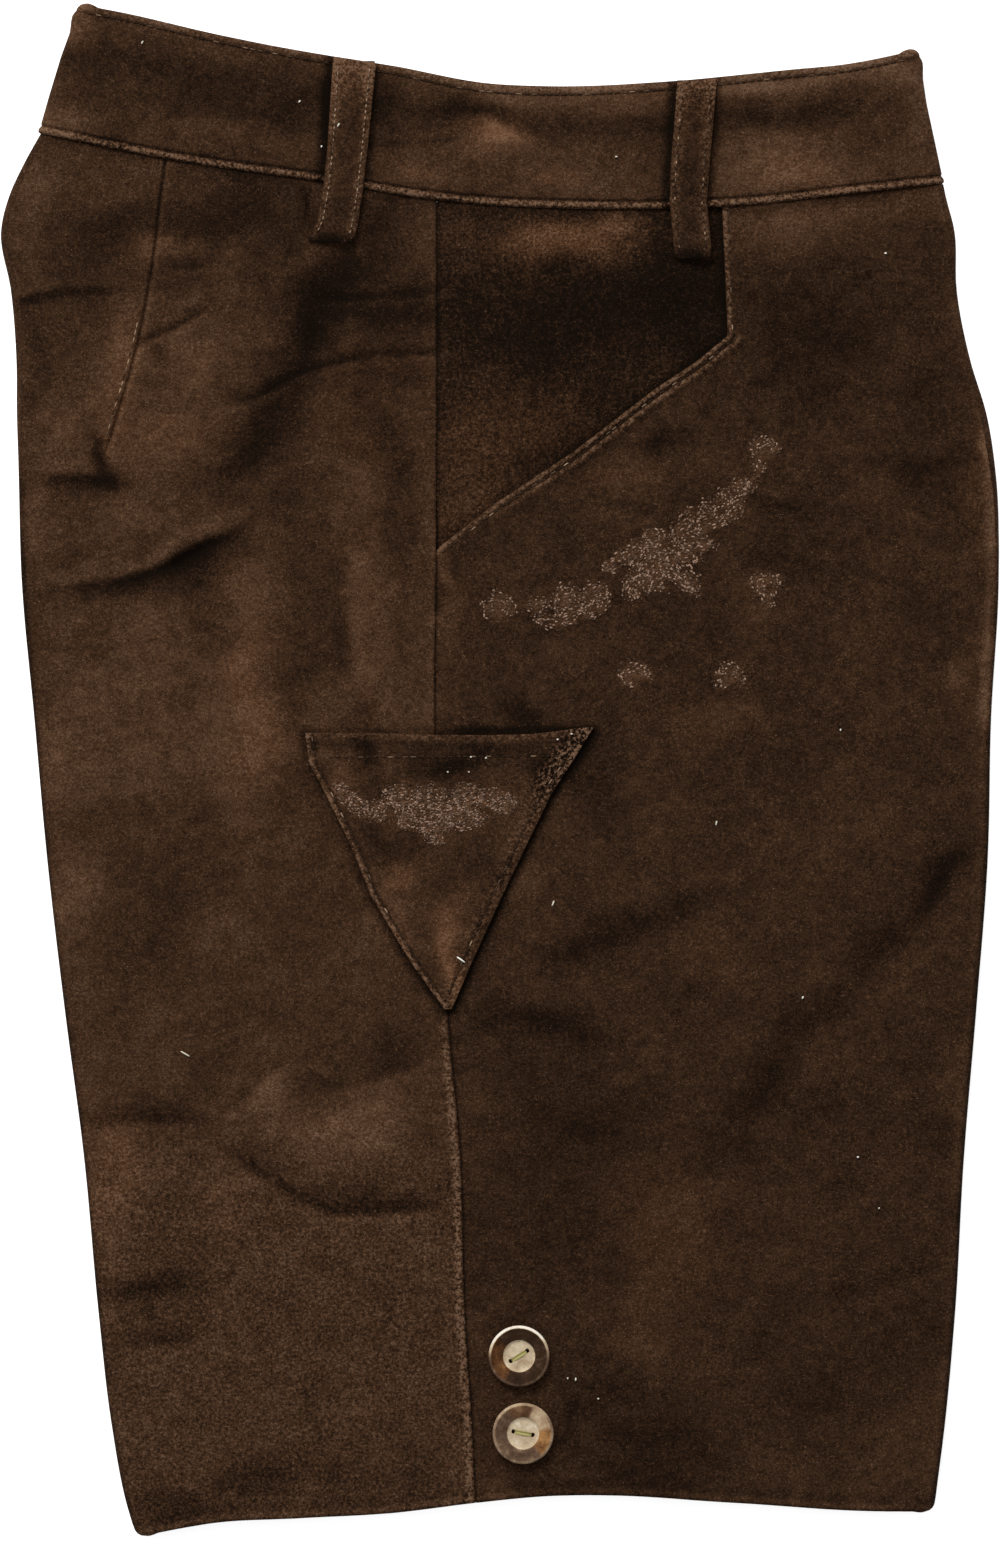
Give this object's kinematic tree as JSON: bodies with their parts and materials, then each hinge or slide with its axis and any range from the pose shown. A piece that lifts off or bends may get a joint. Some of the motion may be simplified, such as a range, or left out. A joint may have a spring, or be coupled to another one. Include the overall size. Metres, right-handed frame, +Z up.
{
  "type": "leather shorts laid flat on one side",
  "caption": "Knee-length suede lederhosen lying flat on one side, with a hip pocket, a pointed knife pocket, belt loops and horn buttons at the hems.",
  "frame": {"origin": "centre of the bounding box at its bottom, on the surface that the shorts lie on", "axes": "+Z up, +Y from the hems to the waistband, +X from the centre back to the centre front"},
  "size_m": [0.3978, 0.613, 0.0147],
  "materials": {
    "suede": "matte brown suede",
    "facing_suede": "matte dark brown suede",
    "horn": "satin horn",
    "thread": "matte brown sewing thread",
    "embroidery": "matte taupe embroidery thread"
  },
  "bodies": {
    "root": {"right_front": "suede", "right_back": "suede", "left_front": "suede", "left_back": "suede", "waistband_right": "suede", "waistband_left": "suede", "pocket_facing_right": "facing_suede", "pocket_facing_left": "facing_suede", "knife_pocket": "suede", "belt_loop_right_back": "suede", "belt_loop_right_front": "suede", "belt_loop_left_back": "suede", "belt_loop_left_front": "suede", "hem_button_right_upper": "horn", "hem_button_right_lower": "horn", "hem_button_left_upper": "horn", "hem_button_left_lower": "horn", "fly_button": "horn"}
  },
  "joints": []
}
